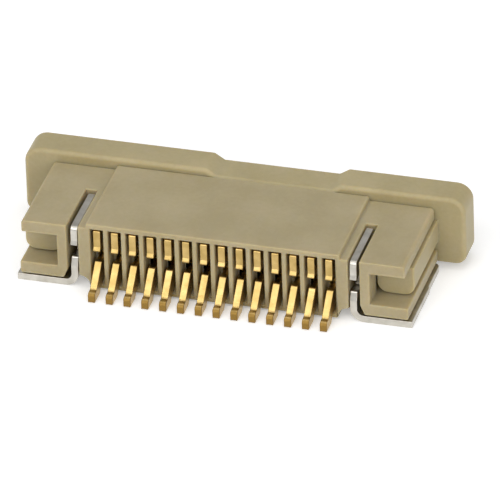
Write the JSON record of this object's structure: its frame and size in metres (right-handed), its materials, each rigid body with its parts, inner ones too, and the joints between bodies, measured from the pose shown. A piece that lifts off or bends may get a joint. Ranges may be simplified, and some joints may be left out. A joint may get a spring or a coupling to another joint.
{
  "type": "fpc connector",
  "caption": "Low right-angle surface-mount connector for a flat flexible cable, with a row of fork contacts, side solder tabs and a pull-out locking slider.",
  "frame": {"origin": "centre of the footprint at board level, under the solder feet", "axes": "+X along the row of contacts, +Y out of the cable mouth, +Z away from the board"},
  "size_m": [0.0124, 0.0048, 0.0022],
  "materials": {
    "housing_plastic": "natural beige glass-filled moulding, satin",
    "slider_plastic": "natural beige glass-filled moulding, satin",
    "tab_tin": "tin plating on a blanked sheet",
    "contact_gold": "thin gold plating on a blanked copper alloy sheet"
  },
  "bodies": {
    "base": {"housing": "housing_plastic", "solder_tab_left": "tab_tin", "solder_tab_right": "tab_tin", "contact_01": "contact_gold", "contact_02": "contact_gold", "contact_03": "contact_gold", "contact_04": "contact_gold", "contact_05": "contact_gold", "contact_06": "contact_gold", "contact_07": "contact_gold", "contact_08": "contact_gold", "contact_09": "contact_gold", "contact_10": "contact_gold", "contact_11": "contact_gold", "contact_12": "contact_gold", "contact_13": "contact_gold", "contact_14": "contact_gold"},
    "lock": {"slider": "slider_plastic"}
  },
  "joints": [
    {"name": "slider_slide", "type": "slide", "parent": "base", "child": "lock", "axis": [0, 1, 0], "range_m": [0, 0.001]}
  ]
}
